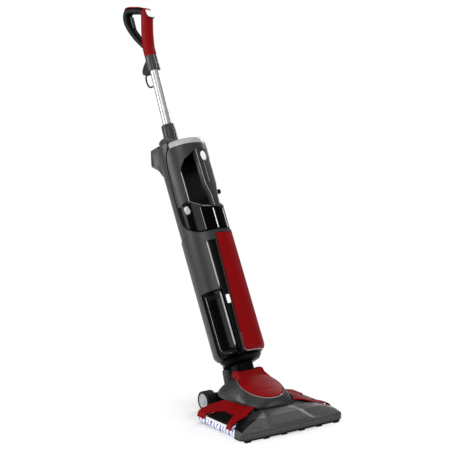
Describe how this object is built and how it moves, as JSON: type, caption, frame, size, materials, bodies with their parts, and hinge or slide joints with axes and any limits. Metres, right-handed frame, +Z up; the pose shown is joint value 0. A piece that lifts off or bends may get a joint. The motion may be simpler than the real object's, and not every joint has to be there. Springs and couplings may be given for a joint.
{
  "type": "wet dry floor scrubber",
  "caption": "Upright wet and dry floor scrubber on a wide wheeled head, with side rollers, lift-out tanks, a leaning column and a looped handle.",
  "frame": {"origin": "on the floor under the keel in the middle of the head", "axes": "+Z up, -Y towards the nose of the head, +X to the right seen from the front"},
  "size_m": [0.323, 0.7807, 1.0618],
  "materials": {
    "dark_plastic": "satin",
    "black_plastic": "satin",
    "red_plastic": "gloss",
    "smoked_plastic": "gloss",
    "silver_plastic": "satin",
    "white_plastic": "satin",
    "blue_plastic": "satin",
    "bristle": "matte",
    "board": "matte",
    "rubber": "matte",
    "hose_rubber": "matte",
    "tyre_rubber": "matte",
    "steel": "brushed",
    "motor_metal": "satin",
    "pole_metal": "polished"
  },
  "bodies": {
    "head": {"base_plate": "black_plastic", "sole_plate": "steel", "nose_cover": "dark_plastic", "front_squeegee": "rubber", "rear_squeegee": "rubber", "left_wing": "red_plastic", "right_wing": "red_plastic", "left_window": "smoked_plastic", "right_window": "smoked_plastic", "left_wiper": "rubber", "right_wiper": "rubber", "shoe_surround": "dark_plastic", "shoe_cover": "red_plastic", "pivot_pin": "steel", "axle_bracket": "black_plastic", "wheel_axle": "steel", "left_roller_motor": "motor_metal", "right_roller_motor": "motor_metal", "suction_hose": "hose_rubber"},
    "left_roller": {"left_roller_core": "blue_plastic", "left_roller_bristles": "bristle"},
    "right_roller": {"right_roller_core": "blue_plastic", "right_roller_bristles": "bristle"},
    "left_wheel": {"left_wheel_hub": "silver_plastic", "left_wheel_tyre": "tyre_rubber"},
    "right_wheel": {"right_wheel_hub": "silver_plastic", "right_wheel_tyre": "tyre_rubber"},
    "neck": {"neck_yoke": "black_plastic", "swivel_ring": "black_plastic"},
    "column": {"core_frame": "black_plastic", "rear_shell": "dark_plastic", "left_panel": "dark_plastic", "right_panel": "dark_plastic", "front_cover": "red_plastic", "suction_pipe": "black_plastic", "suction_motor": "motor_metal", "water_pump": "black_plastic", "control_board": "board", "pole_socket": "dark_plastic", "pole": "pole_metal", "handle_sleeve": "dark_plastic", "handle_grip": "red_plastic", "handle_loop": "black_plastic"},
    "fan": {"fan_impeller": "motor_metal"},
    "cord_hook": {"cord_hook": "black_plastic"},
    "power_button": {"power_button": "white_plastic"},
    "spray_trigger": {"spray_trigger": "dark_plastic"},
    "dirty_unit": {"dirty_vessel": "smoked_plastic", "unit_housing": "dark_plastic", "unit_spine": "dark_plastic", "unit_cap": "silver_plastic", "unit_filter": "white_plastic"},
    "left_clip": {"left_clip": "silver_plastic"},
    "right_clip": {"right_clip": "silver_plastic"},
    "release_button": {"release_button": "white_plastic"},
    "left_tank": {"left_tank": "smoked_plastic"},
    "right_tank": {"right_tank": "smoked_plastic"},
    "left_latch": {"left_tank_latch": "white_plastic"},
    "right_latch": {"right_tank_latch": "white_plastic"}
  },
  "joints": [
    {"name": "recline", "type": "hinge", "parent": "head", "child": "neck", "pos_m": [0, 0.108, 0.098], "axis": [1, 0, 0], "range_deg": [-42.1, 27.9], "deforming": ["suction_hose"]},
    {"name": "swivel", "type": "hinge", "parent": "neck", "child": "column", "pos_m": [0, 0.108, 0.098], "axis": [0, 0.4679, 0.8838], "range_deg": [-57, 23]},
    {"name": "left_roller_spin", "type": "hinge", "parent": "head", "child": "left_roller", "pos_m": [-0.14, 0, 0.017], "axis": [0, 1, 0], "continuous": true},
    {"name": "left_wheel_spin", "type": "hinge", "parent": "head", "child": "left_wheel", "pos_m": [0, 0.187, 0.026], "axis": [1, 0, 0], "continuous": true},
    {"name": "right_roller_spin", "type": "hinge", "parent": "head", "child": "right_roller", "pos_m": [0.14, 0, 0.017], "axis": [0, 1, 0], "continuous": true},
    {"name": "right_wheel_spin", "type": "hinge", "parent": "head", "child": "right_wheel", "pos_m": [0, 0.187, 0.026], "axis": [1, 0, 0], "continuous": true},
    {"name": "fan_spin", "type": "hinge", "parent": "column", "child": "fan", "pos_m": [0.00526, 0.23317, 0.37118], "axis": [0, 0.4679, 0.8838], "continuous": true},
    {"name": "unit_out", "type": "slide", "parent": "column", "child": "dirty_unit", "axis": [0.2924, -0.8451, 0.4475], "range_m": [0, 0.12]},
    {"name": "left_tank_out", "type": "slide", "parent": "column", "child": "left_tank", "axis": [-0.9563, -0.2584, 0.1368], "range_m": [0, 0.09]},
    {"name": "left_latch_press", "type": "slide", "parent": "column", "child": "left_latch", "axis": [0.4226, 0.801, -0.4241], "range_m": [0, 0.002], "stiffness_N_per_m": 900, "springref_m": -0.001},
    {"name": "left_clip_open", "type": "hinge", "parent": "dirty_unit", "child": "left_clip", "pos_m": [-0.06237, 0.30335, 0.53487], "axis": [-0.4441, 0.6729, -0.5916], "range_deg": [0, 60]},
    {"name": "right_tank_out", "type": "slide", "parent": "column", "child": "right_tank", "axis": [0.9563, 0.2584, -0.1368], "range_m": [0, 0.09]},
    {"name": "right_latch_press", "type": "slide", "parent": "column", "child": "right_latch", "axis": [-0.8572, 0.4552, -0.241], "range_m": [0, 0.002], "stiffness_N_per_m": 900, "springref_m": -0.001},
    {"name": "right_clip_open", "type": "hinge", "parent": "dirty_unit", "child": "right_clip", "pos_m": [0.06948, 0.33898, 0.51601], "axis": [0.1192, -0.7607, 0.638], "range_deg": [0, 60]},
    {"name": "release_press", "type": "slide", "parent": "dirty_unit", "child": "release_button", "axis": [-0.2924, 0.8451, -0.4475], "range_m": [0, 0.0015], "stiffness_N_per_m": 900, "springref_m": -0.001},
    {"name": "power_press", "type": "slide", "parent": "column", "child": "power_button", "axis": [-0.2884, 0.7563, -0.5872], "range_m": [0, 0.0015], "stiffness_N_per_m": 900, "springref_m": -0.001},
    {"name": "trigger_squeeze", "type": "slide", "parent": "column", "child": "spray_trigger", "axis": [-0.2921, 0.8648, -0.4085], "range_m": [0, 0.004], "stiffness_N_per_m": 900, "springref_m": -0.001},
    {"name": "hook_swing", "type": "hinge", "parent": "column", "child": "cord_hook", "pos_m": [-0.01153, 0.56306, 0.87689], "axis": [0.9563, 0.2584, -0.1368], "range_deg": [0, 90]}
  ]
}
